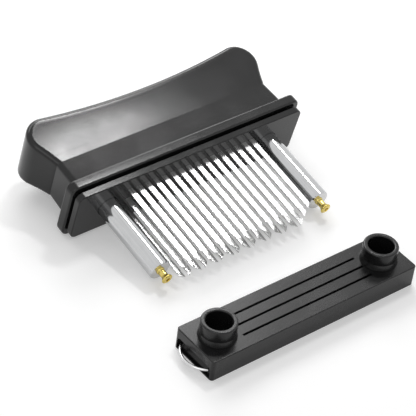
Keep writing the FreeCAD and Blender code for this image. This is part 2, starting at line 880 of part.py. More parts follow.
def make_guard_cover():
    """Cover under the lock: slots, countersunk holes and two runners for the frame."""
    body = new_body("guard_cover")
    sketch = new_sketch(body, "cover_outline", "XY_Plane")
    side = "( guard_width / 2 - guard_wall + cover_ledge - cover_clearance )"
    left = "finger_depth + inner_wall / 2 + cover_clearance - guard_length / 2"
    right = "guard_length / 2 - guard_wall + cover_ledge - cover_clearance"
    corners = [(left, "0 - " + side), (right, "0 - " + side), (right, side), (left, side)]
    add_outline(sketch, corners)
    feature(body, "Pad", "cover_sheet", sketch, Length="cover_thickness")
    sketch = new_sketch(body, "runner_outlines", "XY_Plane", "cover_thickness")
    rail = "( guard_width / 2 - guard_wall - lock_clearance - lock_rail / 2 )"
    for place in SIDES.values():
        add_rectangle(sketch, "runner_length", "runner_width", "0", "%d * %s" % (place, rail))
    height = "lock_bottom - runner_gap - cover_thickness"
    feature(body, "Pad", "runners", sketch, Length=height)
    sketch = new_sketch(body, "cover_slots", "XY_Plane")
    for place in ROWS.values():
        add_rectangle(sketch, "slot_length", "slot_width", "0", "%d * row_spacing" % place)
    feature(body, "Pocket", "cover_openings", sketch, Type=1, Reversed=True)
    for index, (x, y) in enumerate(SCREW_PLACES):
        sketch = new_sketch(body, "countersink_%d" % index, "XZ_Plane", "0 - ( %s )" % y)
        add_outline(
            sketch,
            [
                (x, "0"),
                (x + " + screw_head_diameter / 2", "0"),
                (x + " + screw_diameter / 2", "screw_head"),
                (x + " + screw_diameter / 2", "cover_thickness"),
                (x, "cover_thickness"),
            ],
        )
        turn_about_edge(body, "screw_hole_%d" % index, sketch, sketch.GeometryCount, "Groove")
    return body


def make_cover_screws():
    """Four countersunk screws that hold the cover to the core."""
    head = size("screw_head_diameter") / 2
    shank = size("screw_diameter") / 2
    depth = size("screw_head")
    screws = []
    for across, along in SCREW_PLACES:
        x, y = evaluate(across), evaluate(along)
        cone = Part.makeCone(head, shank, depth, Vector(x, y, 0))
        pin = Part.makeCylinder(shank, size("screw_length") - depth, Vector(x, y, depth))
        socket = Part.makeCylinder(
            size("screw_socket") / 2, size("screw_socket_depth"), Vector(x, y, 0)
        )
        screws.append(cone.fuse(pin).cut(socket))
    item = doc.addObject("Part::Feature", "cover_screws")
    item.Label = "cover_screws"
    item.Shape = Part.makeCompound(screws)
    return item


def make_lock_frame():
    """Flat frame round the slotted core, with a keyhole below each cup."""
    body = new_body("lock_frame")
    outer = "guard_width - 2 * guard_wall - 2 * lock_clearance"
    core = "2 * ( slot_length / 2 + core_end ) + 2 * lock_clearance + 2 * lock_travel"
    sketch = new_sketch(body, "frame_outline", "XY_Plane", "lock_bottom")
    add_rectangle(sketch, "2 * lock_end", outer)
    add_rectangle(sketch, core, outer + " - 2 * lock_rail")
    feature(body, "Pad", "frame_sheet", sketch, Length="lock_thickness")
    sketch = new_sketch(body, "keyhole_rounds", "XY_Plane", "lock_bottom")
    for side in SIDES.values():
        x = "%d * post_spacing / 2" % side
        add_circle(sketch, x + " + lock_travel", "0", "keyhole_diameter / 2")
    feature(body, "Pocket", "keyhole_entries", sketch, Type=1, Reversed=True)
    sketch = new_sketch(body, "keyhole_slots", "XY_Plane", "lock_bottom")
    for side in SIDES.values():
        x = "%d * post_spacing / 2 + lock_travel / 2" % side
        add_rectangle(sketch, "lock_travel", "keyhole_width", x, "0")
    feature(body, "Pocket", "keyhole_necks", sketch, Type=1, Reversed=True)
    sketch = new_sketch(body, "keyhole_ends", "XY_Plane", "lock_bottom")
    for side in SIDES.values():
        add_circle(sketch, "%d * post_spacing / 2" % side, "0", "keyhole_width / 2")
    feature(body, "Pocket", "keyhole_rests", sketch, Type=1, Reversed=True)
    sketch = new_sketch(body, "wire_anchors", "XY_Plane", "lock_bottom")
    for side in SIDES.values():
        across = "%d * pull_spacing / 2" % side
        add_circle(sketch, "pull_anchor - lock_end", across, "pull_wire / 2 + pull_fit")
    feature(body, "Pocket", "wire_eyes", sketch, Type=1, Reversed=True)
    return body


def make_pull_ring():
    """Bent wire: a bow outside the guard, two legs that run in, and ends bent up
    through the eyes of the frame."""
    wire = size("pull_wire") / 2
    half = size("pull_spacing") / 2
    level = size("lock_bottom") - wire
    top = size("lock_bottom") + size("lock_thickness")
    anchor = size("pull_anchor") - size("lock_end")
    bend = size("pull_bend")
    shoulder = 1.0 - size("guard_length") / 2
    bow = wire - size("pull_reach") - size("guard_length") / 2
    slant = bend * (1 - math.sqrt(0.5))

    def leg(y):
        tip = Vector(anchor, y, top)
        turn = Vector(anchor, y, level + bend)
        knee = Vector(anchor - slant, y, level + slant)
        foot = Vector(anchor - bend, y, level)
        return tip, turn, knee, foot, Vector(shoulder, y, level)

    rear = leg(half)
    front = leg(-half)
    edges = [
        Part.LineSegment(rear[0], rear[1]),
        Part.Arc(rear[1], rear[2], rear[3]),
        Part.LineSegment(rear[3], rear[4]),
        Part.Arc(rear[4], Vector(bow, 0, level), front[4]),
        Part.LineSegment(front[4], front[3]),
        Part.Arc(front[3], front[2], front[1]),
        Part.LineSegment(front[1], front[0]),
    ]
    path = Part.Wire([edge.toShape() for edge in edges])
    section = Part.Wire(Part.Circle(rear[0], Vector(0, 0, 1), wire).toShape())
    item = doc.addObject("Part::Feature", "pull_ring")
    item.Label = "pull_ring"
    item.Shape = path.makePipeShell([section], True, False, 2)
    return item


def make_lock_spring():
    """Small spring from its hole in the core to the frame's right cross bar."""
    radius = (size("lock_spring_diameter") - size("lock_spring_wire")) / 2
    core = size("slot_length") / 2 + size("core_end")
    start = core - size("lock_spring_depth")
    bar = core + size("lock_clearance") + size("lock_travel")
    height = size("lock_bottom") + size("lock_thickness") / 2 - size("lock_spring_drop")
    turn = FreeCAD.Rotation(Vector(0, 1, 0), 90)
    place = FreeCAD.Placement(Vector(start, size("row_spacing") / 2, height), turn)
    item = doc.addObject("Part::Feature", "lock_spring")
    item.Label = "lock_spring"
    wire = size("lock_spring_wire")
    item.Shape = coil(place, radius, wire, bar - start, size("lock_spring_turns"))
    return item


# Laying the pieces down

def head_lean():
    """Angle between the blades and the table, in degrees, when the head lies on the
    tips of its rear blades and the rear edge of its flange."""
    tip_y = size("row_spacing") + size("blade_thickness") / 2 - size("blade_grind")
    tip_z = -size("blade_reach")
    edge_y = size("flange_width") / 2
    edge_z = size("plate_thickness") + size("groove_height") + size("flange_edge")
    return math.degrees(math.atan2(edge_y - tip_y, edge_z - tip_z))


def main():
    head = {"handle_shell": make_handle_shell(), "bottom_plate": make_bottom_plate()}
    for name, place in ROWS.items():
        head["blade_bar_" + name] = make_blade_bar(name, place)
        head["blades_" + name] = make_blades(name, place)
    guard = {
        "guard_body": make_guard_body(),
        "guard_cover": make_guard_cover(),
        "cover_screws": make_cover_screws(),
        "lock_frame": make_lock_frame(),
        "pull_ring": make_pull_ring(),
        "lock_spring": make_lock_spring(),
    }
    posts = {}
    for name, side in SIDES.items():
        makers = (
            make_post_tube,
            make_post_plug,
            make_stud,
            make_retaining_ring,
            make_guide_bush,
            make_post_spring,
        )
        for maker in makers:
            item = maker(name)
            posts[item.Label] = (item, side)
    doc.recompute()
    place_pieces(head, posts, guard)
    export(list(head.values()) + [item for item, side in posts.values()] + list(guard.values()))


def place_pieces(head, posts, guard):
    """Lay the head and the guard on the table, about the middle of them both."""
    turn = FreeCAD.Rotation(Vector(1, 0, 0), head_lean() - 90.0)
    lay = FreeCAD.Placement(Vector(0, 0, 0), turn)
    for item in head.values():
        item.Placement = lay
    for item, side in posts.values():
        item.Placement = lay.multiply(FreeCAD.Placement(post_axis(side), FreeCAD.Rotation()))
    lowest = min(item.Shape.optimalBoundingBox().ZMin for item in head.values())
    pieces = list(head.values()) + [item for item, side in posts.values()]
    for item in pieces:
        shift(item, Vector(0, 0, -lowest))
    for item in guard.values():
        item.Placement.Base = Vector(-size("guard_shift"), -size("guard_gap"), 0)
    pieces += list(guard.values())
    boxes = [item.Shape.optimalBoundingBox() for item in pieces]
    middle_x = (min(box.XMin for box in boxes) + max(box.XMax for box in boxes)) / 2
    middle_y = (min(box.YMin for box in boxes) + max(box.YMax for box in boxes)) / 2
    for item in pieces:
        shift(item, Vector(-middle_x, -middle_y, 0))


def shift(item, step):
    """Move a placed piece by a step."""
    item.Placement = FreeCAD.Placement(item.Placement.Base + step, item.Placement.Rotation)


def export(pieces):
    """Check every object, then write each piece to a file of its own."""
    doc.recompute()
    failed = [
        item.Name for item in doc.Objects if "Invalid" in item.State or "Error" in item.State
    ]
    if failed:
        raise RuntimeError("failed objects: " + ", ".join(failed))
    os.makedirs("parts", exist_ok=True)
    for item in pieces:
        if item.Shape.isNull() or not item.Shape.isValid() or not item.Shape.Solids:
            raise RuntimeError("bad shape: " + item.Label)
    for item in pieces:
        item.Shape.exportStep("parts/%s.step" % item.Label)


main()
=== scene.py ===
"""Blade tenderizer with its guard taken off: materials, the pieces that only the scene has, lights, floor and
camera. Places are in metres, and pieces are drawn in millimetres."""

import math

import bmesh
import bpy
from mathutils import Matrix, Vector


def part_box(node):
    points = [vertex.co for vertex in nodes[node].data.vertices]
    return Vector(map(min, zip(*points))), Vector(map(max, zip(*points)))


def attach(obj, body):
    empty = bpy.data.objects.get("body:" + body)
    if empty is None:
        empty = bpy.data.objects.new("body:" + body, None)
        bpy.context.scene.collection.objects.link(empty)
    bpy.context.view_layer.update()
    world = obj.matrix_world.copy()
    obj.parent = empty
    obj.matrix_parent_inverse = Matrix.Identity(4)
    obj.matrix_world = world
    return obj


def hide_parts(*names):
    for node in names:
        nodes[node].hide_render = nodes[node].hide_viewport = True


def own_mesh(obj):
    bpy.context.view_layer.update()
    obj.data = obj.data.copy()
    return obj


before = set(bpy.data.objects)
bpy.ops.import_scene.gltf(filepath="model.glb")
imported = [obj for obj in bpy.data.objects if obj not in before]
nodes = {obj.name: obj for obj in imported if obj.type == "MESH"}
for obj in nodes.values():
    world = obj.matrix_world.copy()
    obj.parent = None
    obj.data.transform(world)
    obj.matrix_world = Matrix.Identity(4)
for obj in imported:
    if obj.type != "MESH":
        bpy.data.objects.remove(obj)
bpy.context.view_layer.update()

METRES_PER_MM = 0.001
MM_PER_METRE = 1000

# The blades' angle to the table in degrees, and the turn about X that lays the head's own upright there
BLADE_LEAN = 10.745
HEAD_TURN = math.radians(BLADE_LEAN - 90)


# Node graph helpers

def new_material(name):
    """A material with a bare Principled shader: the material, its node tree and the shader."""
    material = bpy.data.materials.new(name)
    material.use_nodes = True
    tree = material.node_tree
    tree.nodes.clear()
    shader = tree.nodes.new("ShaderNodeBsdfPrincipled")
    output = tree.nodes.new("ShaderNodeOutputMaterial")
    tree.links.new(shader.outputs["BSDF"], output.inputs["Surface"])
    return material, tree, shader


def coordinates(tree, turn=0.0, stretch=(1, 1, 1)):
    """The object's own place in metres, turned about X and then stretched along each axis."""
    source = tree.nodes.new("ShaderNodeTexCoord")
    turned = tree.nodes.new("ShaderNodeMapping")
    turned.inputs["Rotation"].default_value = (turn, 0, 0)
    stretched = tree.nodes.new("ShaderNodeMapping")
    stretched.inputs["Scale"].default_value = stretch
    tree.links.new(source.outputs["Object"], turned.inputs["Vector"])
    tree.links.new(turned.outputs["Vector"], stretched.inputs["Vector"])
    return stretched.outputs["Vector"]


def noise(tree, place, scale, detail=3.0, rough=0.55):
    """Noise at a place, mostly between 0.3 and 0.7."""
    node = tree.nodes.new("ShaderNodeTexNoise")
    node.inputs["Scale"].default_value = scale
    node.inputs["Detail"].default_value = detail
    node.inputs["Roughness"].default_value = rough
    tree.links.new(place, node.inputs["Vector"])
    return node.outputs["Fac"]


def spread(tree, value, low, high, start=0.3, end=0.7):
    """The value from start to end, spread from low to high."""
    node = tree.nodes.new("ShaderNodeMapRange")
    node.inputs["From Min"].default_value = start
    node.inputs["From Max"].default_value = end
    node.inputs["To Min"].default_value = low
    node.inputs["To Max"].default_value = high
    tree.links.new(value, node.inputs["Value"])
    return node.outputs["Result"]


def combine(tree, operation, a, b):
    """A sum, product or other operation on two values, each a number or an output."""
    node = tree.nodes.new("ShaderNodeMath")
    node.operation = operation
    for slot, value in zip(node.inputs, (a, b)):
        if isinstance(value, (int, float)):
            slot.default_value = value
        else:
            tree.links.new(value, slot)
    return node.outputs["Value"]


def colours(tree, value, stops):
    """The value as a colour, from (place, colour) stops."""
    node = tree.nodes.new("ShaderNodeValToRGB")
    ramp = node.color_ramp
    while len(ramp.elements) < len(stops):
        ramp.elements.new(0.5)
    for element, (place, colour) in zip(ramp.elements, stops):
        element.position = place
        element.color = (*colour, 1)
    tree.links.new(value, node.inputs["Fac"])
    return node.outputs["Color"]


def bump(tree, shader, height, strength, depth):
    """Bump the surface by a height, of which 1 stands for the depth in metres."""
    node = tree.nodes.new("ShaderNodeBump")
    node.inputs["Strength"].default_value = strength
    node.inputs["Distance"].default_value = depth
    tree.links.new(height, node.inputs["Height"])
    tree.links.new(node.outputs["Normal"], shader.inputs["Normal"])


# Turn between the two sets of hairlines in radians, and the noise over which a line fades in
HAIRLINE_SKEW = 0.4
HAIRLINE_FADE = 0.03


def scratches(tree, turn, count, thin):
    """Fine hairlines that run mostly along the piece, as 0 to 1."""
    along = (6, count, count)
    skewed = (count, 9, count * 0.8)
    across = noise(tree, coordinates(tree, turn, along), scale=1.0, detail=1.0)
    other = noise(tree, coordinates(tree, turn + HAIRLINE_SKEW, skewed), scale=1.0, detail=1.0)
    first = spread(tree, across, 0, 1, thin, thin + HAIRLINE_FADE)
    second = spread(tree, other, 0, 1, thin, thin + HAIRLINE_FADE)
    return combine(tree, "MAXIMUM", first, second)


# Materials; bump depths are in metres

PLASTIC_IOR = 1.41
PLASTIC_DEPTH = 0.0001
MARK_DULLING = 0.025
WAVE_SHARE = 1.6
METAL_DEPTH = 0.00005
LINE_SHARE = 0.6
STEEL_ROUGH_RANGE = (0.7, 1.4)


def moulded_plastic(name, dark, light, rough, grain, peel, turn):
    """Black moulded plastic: faint clouding, hairline handling marks and a fine moulded skin."""
    material, tree, shader = new_material(name)
    plain = coordinates(tree, turn)
    cloud = noise(tree, plain, scale=38, detail=4)
    tree.links.new(colours(tree, cloud, [(0.3, dark), (0.7, light)]), shader.inputs["Base Color"])
    skin = noise(tree, plain, scale=1500, detail=2)
    marks = scratches(tree, turn, count=900, thin=0.72)
    clouding = spread(tree, cloud, rough - 0.03, rough + 0.04)
    dull = combine(tree, "ADD", clouding, spread(tree, skin, 0, grain))
    rubbed = combine(tree, "MULTIPLY", marks, MARK_DULLING)
    tree.links.new(combine(tree, "ADD", dull, rubbed), shader.inputs["Roughness"])
    waves = combine(tree, "MULTIPLY", noise(tree, plain, scale=260, detail=2), WAVE_SHARE)
    bump(tree, shader, combine(tree, "ADD", skin, waves), peel, PLASTIC_DEPTH)
    shader.inputs["IOR"].default_value = PLASTIC_IOR
    return material


def ground_steel(name, dark, light, rough, turn, stretch, strength):
    """Bare metal with fine lines left by grinding or turning, which run where stretch is small."""
    material, tree, shader = new_material(name)
    lines = noise(tree, coordinates(tree, turn, stretch), scale=1.0, detail=4, rough=0.65)
    broad = noise(tree, coordinates(tree, turn), scale=120, detail=3)
    fine = combine(tree, "MULTIPLY", lines, LINE_SHARE)
    coarse = combine(tree, "MULTIPLY", broad, 1 - LINE_SHARE)
    mixed = combine(tree, "ADD", fine, coarse)
    tree.links.new(colours(tree, mixed, [(0.35, dark), (0.65, light)]), shader.inputs["Base Color"])
    smoothest, dullest = STEEL_ROUGH_RANGE
    tree.links.new(spread(tree, mixed, rough * smoothest, rough * dullest), shader.inputs["Roughness"])
    shader.inputs["Metallic"].default_value = 1.0
    bump(tree, shader, lines, strength, METAL_DEPTH)
    return material


def soft_bush_plastic(name):
    """Off-white bearing plastic with a faint turned grain."""
    material, tree, shader = new_material(name)
    grain = noise(tree, coordinates(tree, -HEAD_TURN, (300, 300, 3000)), scale=1.0, detail=3)
    cloud = noise(tree, coordinates(tree), scale=90, detail=3)
    tint = colours(tree, cloud, [(0.3, (0.62, 0.61, 0.57)), (0.7, (0.7, 0.69, 0.65))])
    tree.links.new(tint, shader.inputs["Base Color"])
    tree.links.new(spread(tree, grain, 0.4, 0.55), shader.inputs["Roughness"])
    bump(tree, shader, grain, 0.15, METAL_DEPTH)
    return material


GLOSS_DARK = (0.006, 0.006, 0.0062)
GLOSS_LIGHT = (0.009, 0.009, 0.0093)

LOOKS = {
    "handle_shell": moulded_plastic(
        "handle_black", GLOSS_DARK, GLOSS_LIGHT, rough=0.17, grain=0.02, peel=0.04, turn=-HEAD_TURN),
    "bottom_plate": moulded_plastic(
        "plate_black", GLOSS_DARK, GLOSS_LIGHT, rough=0.12, grain=0.02, peel=0.03, turn=-HEAD_TURN),
    "guard_body": moulded_plastic(
        "guard_black", GLOSS_DARK, (0.010, 0.010, 0.0103), rough=0.22, grain=0.04, peel=0.06, turn=0),
    "guard_cover": moulded_plastic(
        "cover_black", (0.008, 0.008, 0.0082), (0.012, 0.012, 0.0123),
        rough=0.34, grain=0.05, peel=0.12, turn=0),
    "blades": ground_steel(
        "blade_steel", (0.6, 0.6, 0.6), (0.82, 0.82, 0.815),
        rough=0.27, turn=-HEAD_TURN, stretch=(2600, 2600, 60), strength=0.2),
    "posts": ground_steel(
        "post_steel", (0.5, 0.505, 0.51), (0.58, 0.585, 0.59),
        rough=0.1, turn=-HEAD_TURN, stretch=(1500, 1500, 30), strength=0.02),
    "plugs": ground_steel(
        "plug_steel", (0.5, 0.5, 0.505), (0.66, 0.66, 0.665),
        rough=0.2, turn=-HEAD_TURN, stretch=(900, 900, 60), strength=0.1),
    "brass": ground_steel(
        "stud_brass", (0.58, 0.45, 0.11), (0.76, 0.62, 0.22),
        rough=0.12, turn=-HEAD_TURN, stretch=(60, 60, 2200), strength=0.08),
    "spring": ground_steel(
        "spring_wire", (0.34, 0.34, 0.345), (0.5, 0.5, 0.51),
        rough=0.28, turn=0, stretch=(700, 700, 700), strength=0.1),
    "screw": ground_steel(
        "zinc_steel", (0.5, 0.51, 0.52), (0.64, 0.65, 0.66),
        rough=0.24, turn=0, stretch=(900, 900, 400), strength=0.12),
    "ring": ground_steel(
        "ring_wire", (0.56, 0.56, 0.565), (0.72, 0.72, 0.725),
        rough=0.12, turn=0, stretch=(500, 500, 500), strength=0.05),
    "bush": soft_bush_plastic("bush_white"),
}

USES = {
    "handle_shell": "handle_shell",
    "bottom_plate": "bottom_plate",
    "guard_body": "guard_body",
    "guard_cover": "guard_cover",
    "blades_front": "blades",
    "blades_middle": "blades",
    "blades_rear": "blades",
    "blade_bar_front": "guard_cover",
    "blade_bar_middle": "guard_cover",
    "blade_bar_rear": "guard_cover",
    "post_tube_left": "posts",
    "post_tube_right": "posts",
    "post_plug_left": "plugs",
    "post_plug_right": "plugs",
    "brass_stud_left": "brass",
    "brass_stud_right": "brass",
    "retaining_ring_left": "spring",
    "retaining_ring_right": "spring",
    "post_spring_left": "spring",
    "post_spring_right": "spring",
    "lock_spring": "spring",
    "lock_frame": "screw",
    "cover_screws": "screw",
    "pull_ring": "ring",
    "guide_bush_left": "bush",
    "guide_bush_right": "bush",
}

for node, look in USES.items():
    for holder in nodes[node].material_slots:
        holder.material = LOOKS[look]


# Mesh helpers; the head's pieces are drawn upright, in millimetres, and then laid with it

HEAD_PLACE = Vector((2.25, 31.555, 18.262))
HEAD_LAY = Matrix.Translation(HEAD_PLACE) @ Matrix.Rotation(HEAD_TURN, 4, "X")
POST_HALF_SPACING = 57.5
SIDES = (("left", -1), ("right", 1))
JOIN_DISTANCE = 0.002
LEVEL_TOLERANCE = 0.001
SHARP_ANGLE = math.radians(32)


def add_grid(mesh, rows):
    """Faces between rows of as many points each."""
    lines = [[mesh.verts.new(point) for point in row] for row in rows]
    for near, far in zip(lines, lines[1:]):
        for a, b, c, d in zip(near, near[1:], far[1:], far):
            mesh.faces.new((a, b, c, d))


def turned_rows(profile, x, steps):
    """Rows of a turned surface about a post's axis, from its (radius, height) points."""
    turns = [2 * math.pi * index / steps for index in range(steps + 1)]
    return [[Vector((x + r * math.cos(t), r * math.sin(t), z)) for t in turns] for r, z in profile]


def finish_piece(mesh, name, look, body, lay, sharp_heights=()):
    """Join the faces, shade them, put the piece in its place and on its body."""
    bmesh.ops.remove_doubles(mesh, verts=mesh.verts, dist=JOIN_DISTANCE)
    bmesh.ops.recalc_face_normals(mesh, faces=mesh.faces)
    for face in mesh.faces:
        face.smooth = True
    for edge in mesh.edges:
        heights = [vert.co.z for vert in edge.verts]
        level = [h for h in sharp_heights if all(abs(z - h) < LEVEL_TOLERANCE for z in heights)]
        edge.smooth = not level and edge.calc_face_angle(0) < SHARP_ANGLE
    bmesh.ops.transform(mesh, matrix=Matrix.Scale(METRES_PER_MM, 4) @ lay, verts=mesh.verts)
    data = bpy.data.meshes.new(name)
    mesh.to_mesh(data)
    mesh.free()
    data.materials.append(LOOKS[look])
    piece = bpy.data.objects.new(name, data)
    bpy.context.scene.collection.objects.link(piece)
    weighted = piece.modifiers.new("even_normals", "WEIGHTED_NORMAL")
    weighted.keep_sharp = True
    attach(piece, body)
    return piece


# Handle: one hollow moulding with flared faces, round horns and a dipped palm

# Heights are from the plate's underside, and a pair of half sizes is a half length and a half width
PALM_HEIGHT = 60.8
PALM_DIP = 4.8
PALM_EDGE = 3.0
CREASE_HEIGHT = 29.5
CREASE_HALF = (75.0, 14.4)
FLARE_RISE = 33.0
FACE_FLARE = 5.1
FACE_HOLLOW = 2.0
HORN_RADIUS = 12.5
HORN_CENTRE = Vector((69.0, PALM_HEIGHT - HORN_RADIUS))
END_RADIUS = 120.0
WALL = 2.8
ROOF_HEIGHT = 49.8
FLANGE_HALF = (82.0, 19.8)
FLANGE_EDGE = 1.2
FLANGE_LEVELS = (5.3, 11.8)
WAIST_HALF = (75.6, 15.2)
MOUTH_HALF = (76.15, 13.85)
HOLLOW_HALF = (71.95, 11.6)
SEAT_TOP = 8.0

# Wells of the posts, each in a boss, with a spigot for the spring
BOSS_RADIUS = 9.8
WELL_RADIUS = 8.0
WELL_CEILING = 55.5
SPIGOT_RADIUS = 3.0
SPIGOT_END = 50.5
WELL_PROFILE = [
    (BOSS_RADIUS, ROOF_HEIGHT),
    (BOSS_RADIUS, SEAT_TOP),
    (WELL_RADIUS, SEAT_TOP),
    (WELL_RADIUS, WELL_CEILING),
    (SPIGOT_RADIUS, WELL_CEILING),
    (SPIGOT_RADIUS, SPIGOT_END),
    (0.0, SPIGOT_END),
]

# Faces along each stretch of the handle
HORN_STEPS = 20
CROWN_STEPS = 8
PALM_STEPS = 30
FACE_STEPS = 18
ROUND_STEPS = 8
BAND_STEPS = 10
FLANGE_STEPS = 5
HOLLOW_STEPS = 6
WELL_STEPS = 48

# Times that the height where a face's rounding starts is worked out again from the lean there
LEAN_ROUNDS = 4


def face_half(height):
    """Half the grip's width at a height, and the angle by which its face leans out there."""
    share = (height - CREASE_HEIGHT) / FLARE_RISE
    half = CREASE_HALF[1] + FACE_FLARE * share - FACE_HOLLOW * share * (1 - share)
    return half, math.atan((FACE_FLARE - FACE_HOLLOW * (1 - 2 * share)) / FLARE_RISE)


def end_centre():
    """Centre of the hollow arc from the crease at the handle's end up to the horn."""
    reach = Vector((CREASE_HALF[0], CREASE_HEIGHT)) - HORN_CENTRE
    far = END_RADIUS + HORN_RADIUS
    along = (far ** 2 - END_RADIUS ** 2 + reach.length_squared) / (2 * reach.length)
    aside = math.sqrt(far ** 2 - along ** 2)
    unit = reach.normalized()
    return HORN_CENTRE + unit * along + Vector((-unit.y, unit.x)) * aside


def palm_centre():
    """Centre of the palm's hollow arc, which runs into both horns, and its radius."""
    middle = PALM_HEIGHT - PALM_DIP
    rise = middle - HORN_CENTRE.y
    radius = (HORN_CENTRE.x ** 2 + rise ** 2 - HORN_RADIUS ** 2) / (2 * (HORN_RADIUS - rise))
    return Vector((0, middle + radius)), radius


def outline_stations():
    """Right half of the grip's outline from the front, an edge radius inside its surface,
    as places with their outward directions: from the widest point up to the middle of
    the palm, and from the widest point down to the crease at the same lengths."""
    inner = HORN_RADIUS - PALM_EDGE
    outer = END_RADIUS + PALM_EDGE
    end = end_centre()
    palm, palm_radius = palm_centre()
    tangent = math.atan2(HORN_CENTRE.y - end.y, end.x - HORN_CENTRE.x)
    last = math.atan2(palm.y - HORN_CENTRE.y, palm.x - HORN_CENTRE.x)
    foot = CREASE_HEIGHT + PALM_EDGE * math.sin(face_half(CREASE_HEIGHT)[1])
    corner_x = end.x - math.sqrt(outer ** 2 - (foot - end.y) ** 2)
    corner = math.acos((corner_x - HORN_CENTRE.x) / inner)
    angles = [corner * index / HORN_STEPS for index in range(HORN_STEPS + 1)]
    angles += [corner + (last - corner) * index / CROWN_STEPS for index in range(1, CROWN_STEPS + 1)]
    upper = []
    lower = []
    for index, angle in enumerate(angles):
        way = Vector((math.cos(angle), math.sin(angle)))
        upper.append((HORN_CENTRE + way * inner, way))
        if index > HORN_STEPS:
            continue
        if angle <= tangent:
            way = Vector((way.x, -way.y))
            lower.append((HORN_CENTRE + way * inner, way))
            continue
        x = upper[-1][0].x
        place = Vector((x, end.y + math.sqrt(outer ** 2 - (end.x - x) ** 2)))
        lower.append((place, (end - place).normalized()))
    first = upper[-1][0].x
    for index in range(1, PALM_STEPS + 1):
        x = first * (1 - index / PALM_STEPS)
        place = Vector((x, palm.y - math.sqrt((palm_radius + PALM_EDGE) ** 2 - x ** 2)))
        upper.append((place, (palm - place).normalized()))
    return upper, lower


def cross_row(station, side):
    """Points across the grip: round from the front face, band, and round to the rear face."""
    place, way = station
    height = place.y
    for _ in range(LEAN_ROUNDS):
        height = place.y - PALM_EDGE * math.sin(face_half(height)[1])
    half, lean = face_half(height)
    face = Vector((0, -math.cos(lean), -math.sin(lean)))
    band = Vector((side * way.x, 0, way.y))
    centre = Vector((side * place.x, PALM_EDGE * math.cos(lean) - half, place.y))
    near = [centre + face.slerp(band, step / ROUND_STEPS) * PALM_EDGE for step in range(ROUND_STEPS + 1)]
    far = [Vector((point.x, -point.y, point.z)) for point in reversed(near)]
    middle = [near[-1].lerp(far[0], step / BAND_STEPS) for step in range(1, BAND_STEPS)]
    return near + middle + far


def grip_rows():
    """Rows over the ends and palm, the front face's columns, and the ring at the crease."""
    upper, lower = outline_stations()
    band = []
    columns = []
    for side in (-1, 1):
        low_rows = [cross_row(station, side) for station in lower]
        low_rows[-1] = [Vector((point.x, point.y, CREASE_HEIGHT)) for point in low_rows[-1]]
        top_rows = [cross_row(station, side) for station in upper]
        half_columns = []
        for index, row in enumerate(top_rows):
            foot = Vector((row[0].x, -CREASE_HALF[1], CREASE_HEIGHT))
            if index < len(low_rows):
                foot = low_rows[index][0]
            column = [foot.lerp(row[0], step / FACE_STEPS) for step in range(FACE_STEPS + 1)]
            half_columns.append([Vector((p.x, -face_half(p.z)[0], p.z)) for p in column])
        half_band = list(reversed(low_rows[1:])) + top_rows
        band += half_band if side < 0 else list(reversed(half_band))[1:]
        columns += half_columns if side < 0 else list(reversed(half_columns))[1:]
    inside = columns[len(lower) - 1:len(columns) - len(lower) + 1]
    front = [column[0] for column in inside]
    rear = [Vector((point.x, -point.y, point.z)) for point in reversed(front)]
    ring = front + band[-1][1:-1] + rear + list(reversed(band[0][1:-1]))
    return band, columns, ring


def fitted(ring, half, height):
    """The ring at the crease, scaled to other half sizes and set at a height."""
    wide, deep = half[0] / CREASE_HALF[0], half[1] / CREASE_HALF[1]
    return [Vector((p.x * wide, p.y * deep, height)) for p in ring]


def flange_rings(ring):
    """Rings down the flange's edge, rounded at its top and at its foot."""
    low, high = FLANGE_LEVELS
    core = fitted(ring, [half - FLANGE_EDGE for half in FLANGE_HALF], 0)
    ways = []
    for before, after in zip(core[-1:] + core[:-1], core[1:] + core[:1]):
        step = after - before
        ways.append(Vector((step.y, -step.x, 0)).normalized())

    def rounded(middle, angle):
        lift = Vector((0, 0, middle + FLANGE_EDGE * math.sin(angle)))
        return [p + way * FLANGE_EDGE * math.cos(angle) + lift for p, way in zip(core, ways)]

    quarter = [math.pi / 2 * step / FLANGE_STEPS for step in range(FLANGE_STEPS + 1)]
    top = [rounded(high - FLANGE_EDGE, math.pi / 2 - angle) for angle in quarter]
    foot = [rounded(low + FLANGE_EDGE, -angle) for angle in quarter]
    return top + foot


def hollow_rings(ring):
    """Rings from the mouth in the flange up the inside to the roof."""
    rings = [fitted(ring, MOUTH_HALF, FLANGE_LEVELS[0]), fitted(ring, MOUTH_HALF, SEAT_TOP)]
    rings += [fitted(ring, HOLLOW_HALF, SEAT_TOP), fitted(ring, HOLLOW_HALF, CREASE_HEIGHT)]
    end = end_centre()
    for step in range(1, HOLLOW_STEPS + 1):
        height = CREASE_HEIGHT + (ROOF_HEIGHT - CREASE_HEIGHT) * step / HOLLOW_STEPS
        length = end.x - math.sqrt((END_RADIUS + WALL) ** 2 - (height - end.y) ** 2)
        rings.append(fitted(ring, (length, face_half(height)[0] - WALL), height))
    return rings


